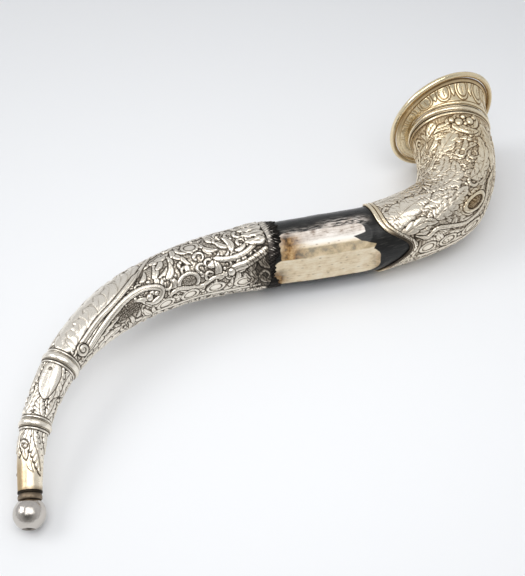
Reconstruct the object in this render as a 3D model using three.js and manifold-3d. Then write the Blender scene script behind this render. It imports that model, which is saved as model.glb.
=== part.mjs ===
// A silver-mounted shofar: a ram's horn in two bends, a ball mouthpiece at the narrow end,
// three embossed sleeves with rings between them, a bare stretch planed into two facets,
// and a flared bell with a rolled rim. One rigid body, in millimetres, +Z up. It lies on
// its side on a table; the origin is the middle of its footprint at table height.
import * as THREE from 'three';
import { mergeVertices } from 'three/addons/utils/BufferGeometryUtils.js';
import Module from 'manifold-3d';

const wasm = await Module();
wasm.setup();

// The horn's centre line from the ball to the rim: x, y, z and the horn's outer radius there
const HORN_LINE = [
  [0, 0, 10, 5.9],
  [35, 32, 25.5, 7.8],
  [81, 54, 33, 10.7],
  [131, 60.5, 34, 15.3],
  [182, 50, 32, 18.6],
  [228, 27.5, 28.5, 21.6],
  [271, -3, 25.8, 23.5],
  [314, -33, 25.5, 23.8],
  [360, -52, 27.8, 25.8],
  [388, -47, 32.3, 27.5],
  [409, -33, 38, 28.7],
  [419, -21.5, 41.8, 29.3],
  [428.3, -12, 44.1, 29.8],
  [434.6, -0.5, 45.2, 30.6],
];
// Inside of the horn: station along the centre line and bore radius
const BORE = [[0, 2.8], [60, 3.8], [100, 6.8], [160, 12.2], [210, 15.6], [260, 19.2], [300, 19.4],
  [345, 19.6], [385, 20], [420, 21], [455, 23.5], [495, 27.4]];

const SEGMENTS = 24;
const ROW = 12;
const FIT_GAP = 0.45;
const SHEET = 1.0;
const THIN_SHEET = 0.7;

const BALL_RADIUS = 10;
const BALL_BACK = 7.8;
const BLOW_HOLE = 2.8;
const CUP_RADIUS = 4.2;
const CUP_DEPTH = 2.6;
const FERRULE = { from: 8.1, to: 13.1, bore: 2.8 };
const HORN = { from: 13.5, to: 384 };
const HORN_BELL_END = { from: 384.4, to: 492.5 };
const TIP_SLEEVE = { from: 13.5, to: 50.6 };
const MIDDLE_SLEEVE = { from: 56.6, to: 94.8 };
const FRONT_SLEEVE = { from: 101.6, to: 270 };
const TIP_RING = { from: 51, to: 56.2, proud: 0.9 };
const MIDDLE_RING = { from: 95.2, to: 101.2, proud: 1.0 };
const FRONT_BORDER_END = 281;
const REAR_BORDER_START = 352;
const REAR_BORDER_WIDTH = 6;
const REAR_SLEEVE_END = 485.4;
const BEAD = { from: 485.8, to: 490.2, proud: 1.4 };

// Two planed facets on the bare stretch, turned from the top toward the outer side
const FACETS = [
  { angle: 31, depth: 2.4 },
  { angle: 89, depth: 2.9 },
];
const FACET_STATIONS = { from: 274, to: 352, fade: 9 };

// Bell: the neck sits over the horn's end, and the wall curves out to the rim
const BELL_NECK = { station: 490.6, radius: 31.4 };
const BELL_MOUTH = { station: 504.9, radius: 40.6 };
const BELL_WALL_ROWS = 6;
const RIM = { station: 505.6, radius: 43.1, roll: 2.2, land: 507.5, rows: 10 };

// Pins that hold the sleeves, each with its station and its angle from the top
const PIN = { head: 1.5, shank: 0.7, hole: 1.05, dome: 0.8, reach: 2.4, drill: 2.9, rows: 2, sides: 8 };
const PINS = [
  { name: 'tip_sleeve_pin_1', sleeve: 'tip_sleeve', station: 24, angle: 180 },
  { name: 'tip_sleeve_pin_2', sleeve: 'tip_sleeve', station: 24, angle: 270 },
  { name: 'middle_sleeve_pin_1', sleeve: 'middle_sleeve', station: 89, angle: 0 },
  { name: 'middle_sleeve_pin_2', sleeve: 'middle_sleeve', station: 89, angle: 180 },
  { name: 'front_sleeve_pin_1', sleeve: 'front_sleeve', station: 258, angle: 150 },
  { name: 'front_sleeve_pin_2', sleeve: 'front_sleeve', station: 258, angle: 210 },
  { name: 'front_sleeve_pin_3', sleeve: 'front_sleeve', station: 258, angle: 285 },
  { name: 'rear_sleeve_pin_1', sleeve: 'rear_sleeve', station: 397, angle: 135 },
  { name: 'rear_sleeve_pin_2', sleeve: 'rear_sleeve', station: 397, angle: 210 },
  { name: 'rear_sleeve_pin_3', sleeve: 'rear_sleeve', station: 397, angle: 285 },
];

const SILVER = new THREE.MeshStandardMaterial({ color: 0xd8d4cc, metalness: 1, roughness: 0.25 });
const GILT = new THREE.MeshStandardMaterial({ color: 0xd2bd8a, metalness: 1, roughness: 0.28 });
const DARK = new THREE.MeshStandardMaterial({ color: 0x3a3630, metalness: 0.8, roughness: 0.45 });
const KERATIN = new THREE.MeshStandardMaterial({ color: 0x4a4038, metalness: 0, roughness: 0.3 });

const UP = new THREE.Vector3(0, 0, 1);
const axis = new THREE.CatmullRomCurve3(
  HORN_LINE.map(([x, y, z]) => new THREE.Vector3(x, y, z)), false, 'catmullrom', 0.5);
axis.arcLengthDivisions = 3000;
const girth = new THREE.CatmullRomCurve3(
  HORN_LINE.map((row) => new THREE.Vector3(row[3], 0, 0)), false, 'catmullrom', 0.5);
const LENGTH = axis.getLength();

const radians = THREE.MathUtils.degToRad;

// Distance between two angles in degrees, the short way round
function turnBetween(a, b) {
  return Math.abs(THREE.MathUtils.euclideanModulo(a - b + 180, 360) - 180);
}

function hornRadius(station) {
  const share = THREE.MathUtils.clamp(station / LENGTH, 0, 1);
  return girth.getPoint(axis.getUtoTmapping(share)).x;
}

function boreRadius(station) {
  const next = Math.max(1, BORE.findIndex(([s]) => s >= station));
  const [s0, r0] = BORE[next - 1];
  const [s1, r1] = BORE[next];
  return THREE.MathUtils.mapLinear(station, s0, s1, r0, r1);
}

// The horn's outside: round, but planed flat on the bare stretch, fading out at both ends
function hornOutside(station, angle) {
  const round = hornRadius(station);
  const { from, to, fade } = FACET_STATIONS;
  const reach = Math.min(
    THREE.MathUtils.smoothstep(station, from, from + fade),
    THREE.MathUtils.smoothstep(to - station, 0, fade));
  const flats = FACETS.map((facet) => {
    const across = Math.cos(radians(Math.min(turnBetween(angle, facet.angle), 80)));
    return (round - facet.depth) / across;
  });
  return THREE.MathUtils.lerp(round, Math.min(round, ...flats), reach);
}

const sleeveOutside = (station) => hornRadius(station) + FIT_GAP + SHEET;
const thickInside = (station) => sleeveOutside(station) - SHEET;
const thinInside = (station) => sleeveOutside(station) - THIN_SHEET;

// A soft V in a sleeve's edge on the outer side, and a shallower one opposite
function edgeNotch(angle, depth) {
  const near = Math.exp(-((turnBetween(angle, 75) / 32) ** 2));
  const far = Math.exp(-((turnBetween(angle, 255) / 32) ** 2));
  return depth * (near + 0.6 * far);
}

const frontSleeveEnd = (angle) => FRONT_SLEEVE.to + 0.8 * Math.sin(radians(5 * angle));
const frontBorderEnd = (angle) => FRONT_BORDER_END - edgeNotch(angle, 7);
const rearBorderStart = (angle) => REAR_BORDER_START + edgeNotch(angle, 18.5);
const rearBorderEnd = (angle) => rearBorderStart(angle) + REAR_BORDER_WIDTH;

// A point of the object from its station, its angle from the top and its distance from the line
function wrap(station, angle, radius) {
  const share = THREE.MathUtils.clamp(station / LENGTH, 0, 1);
  const along = axis.getTangentAt(share);
  const centre = axis.getPointAt(share).addScaledVector(along, station - share * LENGTH);
  const side = new THREE.Vector3().crossVectors(along, UP).normalize();
  const up = new THREE.Vector3().crossVectors(side, along);
  return centre.addScaledVector(side, Math.sin(angle) * radius).addScaledVector(up, Math.cos(angle) * radius);
}

// Moves every point of a lathed solid onto the horn's line. `place` turns the lathe's radius,
// height and angle (in degrees) into a radius and a station.
function bend(geometry, place) {
  geometry.deleteAttribute('uv');
  geometry.deleteAttribute('normal');
  const merged = mergeVertices(geometry, 1e-4);
  const position = merged.attributes.position;
  for (let i = 0; i < position.count; i += 1) {
    const angle = Math.atan2(position.getX(i), position.getZ(i));
    const lathed = Math.hypot(position.getX(i), position.getZ(i));
    const [radius, station] = place(lathed, position.getY(i), THREE.MathUtils.radToDeg(angle));
    position.setXYZ(i, ...wrap(station, angle, radius));
  }
  return merged;
}

// A solid of revolution around the horn's line, from a closed profile of [radius, station]
function turned(profile) {
  const points = [...profile, profile[0]].map(([radius, station]) => new THREE.Vector2(radius, station));
  return bend(new THREE.LatheGeometry(points, SEGMENTS), (radius, station) => [radius, station]);
}

// A tube wall between two edges and two skins, which may all vary round the horn. Its rows
// lie at the same stations on every piece, so that nested walls keep their gap in the bends.
function tube(from, to, inside, outside) {
  const angles = Array.from({ length: SEGMENTS }, (_, i) => (i * 360) / SEGMENTS);
  const first = Math.floor(Math.max(...angles.map(from)) / ROW) + 1;
  const last = Math.ceil(Math.min(...angles.map(to)) / ROW) - 1;
  const inner = Array.from({ length: Math.max(0, last - first + 1) }, (_, i) => (first + i) * ROW);
  const end = inner.length + 1;
  const rows = Array.from({ length: end + 1 }, (_, i) => i);
  const points = [
    ...rows.map((row) => new THREE.Vector2(2, row)),
    ...rows.toReversed().map((row) => new THREE.Vector2(1, row)),
    new THREE.Vector2(2, 0),
  ];
  return bend(new THREE.LatheGeometry(points, SEGMENTS), (layer, height, angle) => {
    const row = Math.round(height);
    const stations = [from(angle), ...inner, to(angle)];
    const skin = layer > 1.5 ? outside : inside;
    return [skin(stations[row], angle), stations[row]];
  });
}

// The same wall with straight ends
function straightTube({ from, to }, inside, outside) {
  return tube(() => from, () => to, inside, outside);
}

// Points of a round arc in [radius, station], angles in degrees from the outward direction
function arc(radius, station, size, start, end, rows) {
  return Array.from({ length: rows + 1 }, (_, i) => {
    const angle = radians(THREE.MathUtils.lerp(start, end, i / rows));
    return [radius + size * Math.cos(angle), station + size * Math.sin(angle)];
  });
}

function ball() {
  const front = -Math.sqrt(BALL_RADIUS ** 2 - CUP_RADIUS ** 2);
  const start = THREE.MathUtils.radToDeg(Math.asin(front / BALL_RADIUS));
  const end = THREE.MathUtils.radToDeg(Math.asin(BALL_BACK / BALL_RADIUS));
  return turned([
    ...arc(0, 0, BALL_RADIUS, start, end, 10),
    [BLOW_HOLE, BALL_BACK],
    [BLOW_HOLE, front + CUP_DEPTH],
  ]);
}

function ferrule() {
  const { from, to, bore } = FERRULE;
  return turned([[6.2, from], [6.7, from + 1.2], [7.3, from + 3.6], [7.3, to], [bore, to], [bore, from]]);
}

// A half-round band that stands proud of the sleeves on both sides of it
function band({ from, to, proud }) {
  const middle = (from + to) / 2;
  const inside = hornRadius(middle) + FIT_GAP + 0.1;
  const crown = sleeveOutside(middle) + proud;
  return turned([
    [inside, from],
    [crown - proud, from],
    [crown - 0.25 * proud, from + 1],
    [crown, middle],
    [crown - 0.25 * proud, to - 1],
    [crown - proud, to],
    [inside, to],
  ]);
}

// The bell's wall: a curve from the neck out to the mouth, and the same curve one sheet further in
function bell() {
  const { station: neck, radius: narrow } = BELL_NECK;
  const { station: mouth, radius: wide } = BELL_MOUTH;
  const curve = new THREE.CubicBezierCurve(
    new THREE.Vector2(narrow, neck),
    new THREE.Vector2(narrow, neck + 7),
    new THREE.Vector2(narrow + 3.5, mouth - 3),
    new THREE.Vector2(wide, mouth));
  const shares = Array.from({ length: BELL_WALL_ROWS + 1 }, (_, i) => i / BELL_WALL_ROWS);
  const outside = shares.map((share) => curve.getPoint(share));
  const inside = shares.map((share, i) => {
    const slope = curve.getTangent(share);
    return [outside[i].x - slope.y * SHEET, outside[i].y + slope.x * SHEET];
  });
  return turned([...outside.map((point) => [point.x, point.y]), ...inside.reverse()]);
}

// The rolled rim, round except for the flat land that faces out of the bell
function rim() {
  const { station, radius, roll, land, rows } = RIM;
  const edge = THREE.MathUtils.radToDeg(Math.asin((land - station) / roll));
  return turned(arc(radius, station, roll, -180 - edge, edge, rows));
}

function toSolid(geometry) {
  return new wasm.Manifold(new wasm.Mesh({
    numProp: 3,
    vertProperties: new Float32Array(geometry.attributes.position.array),
    triVerts: new Uint32Array(geometry.index.array),
  }));
}

function toGeometry(solid) {
  const mesh = solid.getMesh();
  const geometry = new THREE.BufferGeometry();
  geometry.setAttribute('position', new THREE.BufferAttribute(mesh.vertProperties, 3));
  geometry.setIndex(new THREE.BufferAttribute(mesh.triVerts, 1));
  return geometry;
}

// Stands a lathed shape on the sleeve at a pin's place, its own +Y pointing away from the horn
function standOn(geometry, pin) {
  const root = wrap(pin.station, radians(pin.angle), 0);
  const seat = wrap(pin.station, radians(pin.angle), sleeveOutside(pin.station));
  const outward = seat.clone().sub(root).normalize();
  const turn = new THREE.Quaternion().setFromUnitVectors(new THREE.Vector3(0, 1, 0), outward);
  geometry.deleteAttribute('uv');
  geometry.deleteAttribute('normal');
  return mergeVertices(geometry.applyQuaternion(turn).translate(...seat), 1e-4);
}

function pinShape(pin) {
  const dome = Array.from({ length: PIN.rows }, (_, i) => {
    const angle = (i / PIN.rows) * Math.PI / 2;
    return new THREE.Vector2(PIN.head * Math.cos(angle), 0.3 + PIN.dome * Math.sin(angle));
  });
  const profile = [
    new THREE.Vector2(0, -PIN.reach),
    new THREE.Vector2(PIN.shank, -PIN.reach),
    new THREE.Vector2(PIN.shank, 0.3),
    ...dome,
    new THREE.Vector2(0, 0.3 + PIN.dome),
  ];
  return standOn(new THREE.LatheGeometry(profile, PIN.sides), pin);
}

function pinHole(pin) {
  const profile = [
    new THREE.Vector2(0, -PIN.drill),
    new THREE.Vector2(PIN.hole, -PIN.drill),
    new THREE.Vector2(PIN.hole, 2),
    new THREE.Vector2(0, 2),
  ];
  return standOn(new THREE.LatheGeometry(profile, PIN.sides), pin);
}

// Cuts the holes of the given pins out of a piece
function drilled(geometry, pins) {
  const holes = pins.map((pin) => toSolid(pinHole(pin)));
  return toGeometry(holes.reduce((solid, hole) => solid.subtract(hole), toSolid(geometry)));
}

const pinsOf = (sleeve) => PINS.filter((pin) => pin.sleeve === sleeve);

const pieces = {
  mouthpiece_ball: [ball(), SILVER],
  mouthpiece_ferrule: [ferrule(), DARK],
  tip_sleeve: [drilled(straightTube(TIP_SLEEVE, thinInside, sleeveOutside), pinsOf('tip_sleeve')), SILVER],
  tip_ring: [band(TIP_RING), SILVER],
  middle_sleeve: [
    drilled(straightTube(MIDDLE_SLEEVE, thinInside, sleeveOutside), pinsOf('middle_sleeve')), SILVER],
  middle_ring: [band(MIDDLE_RING), SILVER],
  front_sleeve: [
    drilled(
      tube(() => FRONT_SLEEVE.from, frontSleeveEnd, thinInside, sleeveOutside),
      pinsOf('front_sleeve')),
    SILVER],
  front_sleeve_border: [
    tube((angle) => frontSleeveEnd(angle) + 0.4, frontBorderEnd, thinInside, sleeveOutside), DARK],
  horn: [
    drilled(straightTube(HORN, boreRadius, hornOutside), PINS.filter((pin) => pin.station < HORN.to)),
    KERATIN],
  horn_bell_end: [
    drilled(straightTube(HORN_BELL_END, boreRadius, hornOutside), pinsOf('rear_sleeve')), KERATIN],
  rear_sleeve_border: [
    tube(rearBorderStart, rearBorderEnd, thickInside, sleeveOutside), GILT],
  rear_sleeve: [
    drilled(
      tube((angle) => rearBorderEnd(angle) + 0.4, () => REAR_SLEEVE_END, thickInside, sleeveOutside),
      pinsOf('rear_sleeve')),
    SILVER],
  bell_bead: [band(BEAD), SILVER],
  bell_flare: [bell(), GILT],
  bell_rim: [rim(), GILT],
};

const object = new THREE.Group();
for (const [name, [geometry, material]] of Object.entries(pieces)) {
  const mesh = new THREE.Mesh(geometry, material);
  mesh.name = name;
  object.add(mesh);
}
for (const pin of PINS) {
  const mesh = new THREE.Mesh(pinShape(pin), SILVER);
  mesh.name = pin.name;
  object.add(mesh);
}

// Puts the origin at the middle of the footprint, at table height
const box = new THREE.Box3().setFromObject(object);
const middle = box.getCenter(new THREE.Vector3());
object.position.set(-middle.x, -middle.y, -box.min.z);

const shofar = new THREE.Group();
shofar.add(object);

export default shofar;
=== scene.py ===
"""Looks of a silver-mounted shofar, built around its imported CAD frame.

Every silver piece is a fine grid wrapped round the horn's centre line, embossed with a height
field made of leaves, scrolls, ovals and tongues. Stations run along the line from the ball, in
millimetres, and angles run round it from the top towards the outer side, in degrees.
"""
import copy
import math

import bpy
import numpy as np
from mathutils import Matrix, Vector


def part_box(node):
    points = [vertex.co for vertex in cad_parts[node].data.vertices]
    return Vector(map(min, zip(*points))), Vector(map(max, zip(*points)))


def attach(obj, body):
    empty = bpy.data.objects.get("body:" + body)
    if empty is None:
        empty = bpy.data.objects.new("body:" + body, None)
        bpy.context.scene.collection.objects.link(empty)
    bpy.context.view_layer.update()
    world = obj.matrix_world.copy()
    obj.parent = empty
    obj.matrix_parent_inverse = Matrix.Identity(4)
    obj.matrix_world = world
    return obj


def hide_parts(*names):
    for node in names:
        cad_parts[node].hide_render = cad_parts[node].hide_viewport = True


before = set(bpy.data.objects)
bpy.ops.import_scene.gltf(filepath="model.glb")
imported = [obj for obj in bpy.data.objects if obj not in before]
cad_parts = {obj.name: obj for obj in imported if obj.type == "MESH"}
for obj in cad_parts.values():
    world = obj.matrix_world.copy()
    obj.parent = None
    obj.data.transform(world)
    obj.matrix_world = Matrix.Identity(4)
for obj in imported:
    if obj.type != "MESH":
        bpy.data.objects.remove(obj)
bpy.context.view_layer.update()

MM = 0.001

# The horn's centre line as in the CAD: x, y, z and the horn's outer radius, in millimetres
HORN_LINE = np.array([
    [0, 0, 10, 5.9],
    [35, 32, 25.5, 7.8],
    [81, 54, 33, 10.7],
    [131, 60.5, 34, 15.3],
    [182, 50, 32, 18.6],
    [228, 27.5, 28.5, 21.6],
    [271, -3, 25.8, 23.5],
    [314, -33, 25.5, 23.8],
    [360, -52, 27.8, 25.8],
    [388, -47, 32.3, 27.5],
    [409, -33, 38, 28.7],
    [419, -21.5, 41.8, 29.3],
    [428.3, -12, 44.1, 29.8],
    [434.6, -0.5, 45.2, 30.6],
])

# The bore: stations along the line and its radius there
BORE = np.array([[0, 2.8], [60, 3.8], [100, 6.8], [160, 12.2], [210, 15.6], [260, 19.2], [300, 19.4],
                 [345, 19.6], [385, 20], [420, 21], [455, 23.5], [495, 27.4]])

# Stations: the ends of the horn and the sleeves, and the middle of the tip ring
HORN_ENDS = (13.5, 492.5)
TIP_SLEEVE = (13.5, 50.6)
MIDDLE_SLEEVE = (56.6, 94.8)
FRONT_SLEEVE_START = 101.6
REAR_SLEEVE_END = 485.4
RING_MIDDLE = 53.6

REAR_BAND_WIDTH = 6.4
BARE_RADIUS = 23.8

# How far a sleeve's inside wall and its outside ground stand off the horn
SHEET_INSIDE = 0.45
GROUND = 0.95

# The planed facets: where they face, how deep they are cut and where they run
FACETS = (
    {"angle": 31, "depth": 2.7, "from": 279, "to": 347},
    {"angle": 89, "depth": 3.1, "from": 271, "to": 354},
)
FACET_FADE = 11


# -------------------- the line and its frame

def spline(rows, t):
    """Points of a uniform Catmull-Rom spline through rows, its ends carried straight on."""
    ends = np.vstack([2 * rows[0] - rows[1], rows, 2 * rows[-1] - rows[-2]])
    i = np.clip(np.floor(t).astype(int), 0, len(rows) - 2)
    w = (t - i)[..., None]
    p0, p1, p2, p3 = ends[i], ends[i + 1], ends[i + 2], ends[i + 3]
    m1, m2 = (p2 - p0) / 2, (p3 - p1) / 2
    return (p1 + m1 * w + (3 * (p2 - p1) - 2 * m1 - m2) * w ** 2
            + (2 * (p1 - p2) + m1 + m2) * w ** 3)


LINE_T = np.linspace(0, len(HORN_LINE) - 1, 6001)
LINE_POINTS = spline(HORN_LINE, LINE_T)
LINE_STEPS = np.linalg.norm(np.diff(LINE_POINTS[:, :3], axis=0), axis=1)
LINE_STATION = np.concatenate([[0], np.cumsum(LINE_STEPS)])
LINE_LENGTH = LINE_STATION[-1]


def line_at(station):
    """Centre and horn radius at a station; beyond the ends the line runs straight on."""
    s = np.asarray(station, float)
    inside = np.clip(s, 0, LINE_LENGTH)
    point = spline(HORN_LINE, np.interp(inside, LINE_STATION, LINE_T))
    start = (LINE_POINTS[1] - LINE_POINTS[0]) / LINE_STEPS[0]
    end = (LINE_POINTS[-1] - LINE_POINTS[-2]) / LINE_STEPS[-1]
    over = (s - inside)[..., None]
    return point + np.where(over < 0, start, end) * over * [1, 1, 1, 0]


def horn_radius(station):
    return line_at(station)[..., 3]


def wrap(station, angle, radius):
    """Points in the frame, in metres, from stations, angles in degrees and radii."""
    s, a, r = np.broadcast_arrays(*(np.asarray(v, float) for v in (station, angle, radius)))
    along = line_at(s + 0.5)[..., :3] - line_at(s - 0.5)[..., :3]
    along /= np.linalg.norm(along, axis=-1, keepdims=True)
    side = np.cross(along, [0, 0, 1])
    side /= np.linalg.norm(side, axis=-1, keepdims=True)
    up = np.cross(side, along)
    turn = np.radians(a)[..., None]
    outward = side * np.sin(turn) + up * np.cos(turn)
    return (line_at(s)[..., :3] + outward * r[..., None]) * MM + OFFSET


# The line is moved so that its tip ring lies where the CAD's tip ring lies
OFFSET = np.zeros(3)
OFFSET = np.mean([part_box("tip_ring")[0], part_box("tip_ring")[1]], axis=0) - wrap(RING_MIDDLE, 0, 0)


def turn_between(a, b):
    """Signed turn from angle b to angle a in degrees, the short way round."""
    return (np.asarray(a, float) - b + 180) % 360 - 180


def smooth(value, low, high):
    t = np.clip((value - low) / (high - low), 0, 1)
    return t * t * (3 - 2 * t)


def edge_notch(angle, depth):
    near = np.exp(-(turn_between(angle, 75) / 32) ** 2)
    far = np.exp(-(turn_between(angle, 255) / 32) ** 2)
    return depth * (near + 0.6 * far)


# -------------------- meshes

def linked(name, data):
    thing = bpy.data.objects.new(name, data)
    bpy.context.scene.collection.objects.link(thing)
    return thing


def ring_mesh(name, rings, attributes, sharp):
    """A closed body from rings of points: each ring joins the next, and the last the first."""
    rings = np.asarray(rings)
    count, around = rings.shape[:2]
    ids = np.arange(count * around).reshape(count, around)
    up = np.roll(ids, -1, axis=0)
    faces = np.stack([ids, np.roll(ids, -1, axis=1), np.roll(up, -1, axis=1), up], axis=-1)
    mesh = bpy.data.meshes.new(name)
    mesh.from_pydata(rings.reshape(-1, 3).tolist(), [], faces.reshape(-1, 4).tolist())
    for key, values in attributes.items():
        layer = mesh.attributes.new(key, "FLOAT", "POINT")
        layer.data.foreach_set("value", np.asarray(values, np.float32).ravel())
    mesh.polygons.foreach_set("use_smooth", [True] * len(mesh.polygons))
    mesh.set_sharp_from_angle(angle=math.radians(sharp))
    return linked(name, mesh)


def dress(piece, material, slot, *nodes):
    piece.data.materials.append(material)
    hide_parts(*nodes)
    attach(piece, "root")


def turned(name, profile, around, sharp=40, warm=0.0):
    """A ring round the line from a closed profile of (radius, station) or (radius, station, dark)."""
    rows = [tuple(row) + (0,) * (3 - len(row)) for row in profile]
    radius, station, dark = np.array(rows, float).T
    angles = np.linspace(0, 360, around, endpoint=False)
    rings = wrap(station[:, None], angles[None, :], radius[:, None])
    shape = rings.shape[:2]
    paint = {"dark": np.broadcast_to(dark[:, None], shape), "warm": np.full(shape, warm)}
    return ring_mesh(name, rings, paint, sharp)


def arc(radius, station, size, start, end, rows):
    t = np.radians(np.linspace(start, end, rows + 1))
    return list(zip(radius + size * np.cos(t), station + size * np.sin(t)))


# -------------------- relief

def bump(distance, width):
    return np.exp(-(distance / width) ** 2)


def dome(share):
    """Height of a half-round at a share of its half-width."""
    return np.sqrt(np.clip(1 - share ** 2, 0, 1))


class Skin:
    """A grid over a sleeve's outside: heights above the ground, darkening (oxide in the recesses, and
    painted shade on some sleeves) and warm gilding.
    """

    def __init__(self, start, end, rows, around):
        angle = np.linspace(-90, 270, around, endpoint=False)[None, :]
        share = np.linspace(0, 1, rows)[:, None]
        first = start(angle) if callable(start) else np.full_like(angle, start)
        last = end(angle) if callable(end) else np.full_like(angle, end)
        self.station = first + (last - first) * share
        self.angle = np.broadcast_to(angle, self.station.shape)
        self.radius = horn_radius(self.station) + GROUND
        self.height = np.zeros_like(self.station)
        self.dark = np.zeros_like(self.station)
        self.warm = np.zeros_like(self.station)
        self.half = 0

    def near(self, low, high):
        """The same skin, cut down to the rows that touch a span of stations."""
        rows = np.flatnonzero((self.station.max(axis=1) > low - 3) & (self.station.min(axis=1) < high + 3))
        part = copy.copy(self)
        if len(rows):
            span = slice(rows[0], rows[-1] + 1)
            for key in ("station", "angle", "radius", "height", "dark", "warm"):
                setattr(part, key, getattr(self, key)[span])
        return part

    def plane(self, station, angle, turn=0):
        """Flat coordinates round a spot: x along the turned direction, y across it."""
        u = self.station - station
        v = np.radians(turn_between(self.angle, angle)) * self.radius
        c, s = math.cos(math.radians(turn)), math.sin(math.radians(turn))
        return u * c + v * s, v * c - u * s

    def around(self, station, angle, turn=0):
        """Flat coordinates round an ornament, carried to the half of the sleeve in work."""
        return self.plane(station, angle + self.half, turn)

    def follow(self, spots):
        """Share along a path, signed distance to its left and length, for every grid point."""
        spots = np.array(spots, float)
        spots[:, 1] += self.half
        middle = spots[:, 1].mean()
        count = 14 * (len(spots) - 1)
        fine = spline(spots, np.linspace(0, len(spots) - 1, count + 1))
        px = fine[:, 0]
        py = np.radians(fine[:, 1] - middle) * (horn_radius(px) + GROUND)
        x, y = self.plane(0, middle)
        seg_x, seg_y = np.diff(px), np.diff(py)
        length = np.hypot(seg_x, seg_y)
        start = np.concatenate([[0], np.cumsum(length)])
        best = np.full(x.shape, 1e9)
        share = np.zeros_like(x)
        side = np.zeros_like(x)
        for i in range(count):
            dx, dy = x - px[i], y - py[i]
            t = np.clip((dx * seg_x[i] + dy * seg_y[i]) / length[i] ** 2, 0, 1)
            d = np.hypot(dx - t * seg_x[i], dy - t * seg_y[i])
            near = d < best
            best = np.where(near, d, best)
            share = np.where(near, (start[i] + t * length[i]) / start[-1], share)
            side = np.where(near, np.sign(seg_x[i] * dy - seg_y[i] * dx), side)
        return share, best * side, start[-1]

    def stamp(self, gap, height, ink=0.85, line=0.38):
        """Lay a raised form over what is there; gap is the distance outside its edge."""
        groove = bump(gap - 0.3, line) * ink
        inside = gap < 0
        self.height[:] = np.where(inside, height, self.height) - 0.4 * groove
        self.dark[:] = np.maximum(np.where(inside, 0, self.dark), groove)

    def engrave(self, distance, width=0.36, ink=0.8, where=True):
        """Cut a thin dark line where a distance is near nothing."""
        cut = bump(distance, width) * where
        self.height[:] = self.height - 0.28 * cut
        self.dark[:] = np.maximum(self.dark, ink * cut)


def reach(spots, margin):
    stations = [s for s, _ in spots]
    return min(stations) - margin, max(stations) + margin


def leaf(skin, spots, width, height=0.75, lobes=6, ink=0.85, blunt=0.8, serrate=0.34, rib=0.7):
    """An acanthus leaf on a curved midrib: lobes that part at the edge, with veins sweeping inwards."""
    part = skin.near(*reach(spots, width))
    t, d, length = part.follow(spots)
    outline = np.sin(np.pi * np.clip(t, 0.001, 0.999) ** blunt) ** 0.6
    lean = np.clip(np.abs(d) / (width * outline + 0.05), 0, 1.2)
    phase = lobes * t - 1.15 * lean ** 0.6
    lobe = np.abs(np.sin(np.pi * phase))
    half = width * outline * (1 - serrate + serrate * lobe ** 0.6)
    gap = np.abs(d) - half
    body = dome(np.clip(d / np.maximum(half, 0.05), -1, 1))
    part.stamp(gap, height * (0.4 + 0.6 * body) * (0.72 + 0.28 * lobe), ink)
    inside = gap < -0.2
    part.engrave(d, 0.38, rib * ink, inside & (t < 0.92))
    vein = np.abs(phase - np.round(phase)) * length / lobes * 0.7
    part.engrave(vein, 0.34, ink, inside * np.clip(1.5 * lean - 0.45, 0, 0.9))


def stem(skin, spots, width=1.3, height=0.7, taper=0.5, ink=0.8):
    """A raised line along a path, thinner at its end."""
    part = skin.near(*reach(spots, width))
    t, d, _ = part.follow(spots)
    half = width * (1 - taper * t)
    part.stamp(np.abs(d) - half, height * dome(d / half), ink)


def double_stem(skin, spots, width=2.2, height=0.8, ink=0.9, taper=0.0):
    """A broad raised band with a dark line along its middle."""
    part = skin.near(*reach(spots, width))
    t, d, _ = part.follow(spots)
    half = width * (1 - taper * t) * np.clip(np.sin(np.pi * np.clip(t, 0, 1)) * 4, 0.3, 1)
    part.stamp(np.abs(d) - half, height * dome(0.8 * d / half), ink)
    part.engrave(d - 0.25 * half, 0.34, 0.7 * ink, (np.abs(d) < half) & (t > 0.04) & (t < 0.96))


def volute(skin, station, angle, size, pitch=2.4, hand=1, start=0, height=0.8):
    """A spiral scroll with a boss at its centre."""
    part = skin.near(station - size, station + size)
    x, y = part.around(station, angle)
    rho = np.hypot(x, y)
    theta = np.degrees(np.arctan2(y, x)) * hand
    phase = rho / pitch - (theta - start) / 360
    off = np.abs(phase - np.round(phase)) * pitch
    gap = rho - size * (1 - 0.12 * np.cos(np.radians(theta - start)))
    part.stamp(gap, height * dome(off / (0.5 * pitch)))
    part.engrave(0.5 * pitch - off, 0.4, 0.85, (gap < 0) & (rho > 0.5 * pitch))


def oval(skin, station, angle, long, wide, turn=0, height=0.65, inner=0.45):
    """A double-outlined oval with a domed middle."""
    part = skin.near(station - long, station + long)
    x, y = part.around(station, angle, turn)
    q = np.hypot(x / long, y / wide)
    mean = math.sqrt(long * wide)
    part.stamp((q - 1) * mean, height * np.where(q > 0.66, 1, inner) - 0.1 * q)
    part.engrave((q - 0.66) * mean, 0.4, 0.85)
    grain = bump(cell_dots(x, y, 1.3, 4), 0.42)
    part.dark[:] = np.maximum(part.dark, (q < 0.6) * (mean > 6.5) * 0.75 * (1 - grain))


def boss(skin, station, angle, size, height=0.8, ink=0.85):
    part = skin.near(station - size, station + size)
    x, y = part.around(station, angle)
    rho = np.hypot(x, y)
    part.stamp(rho - size, height * dome(rho / size), ink)


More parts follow.
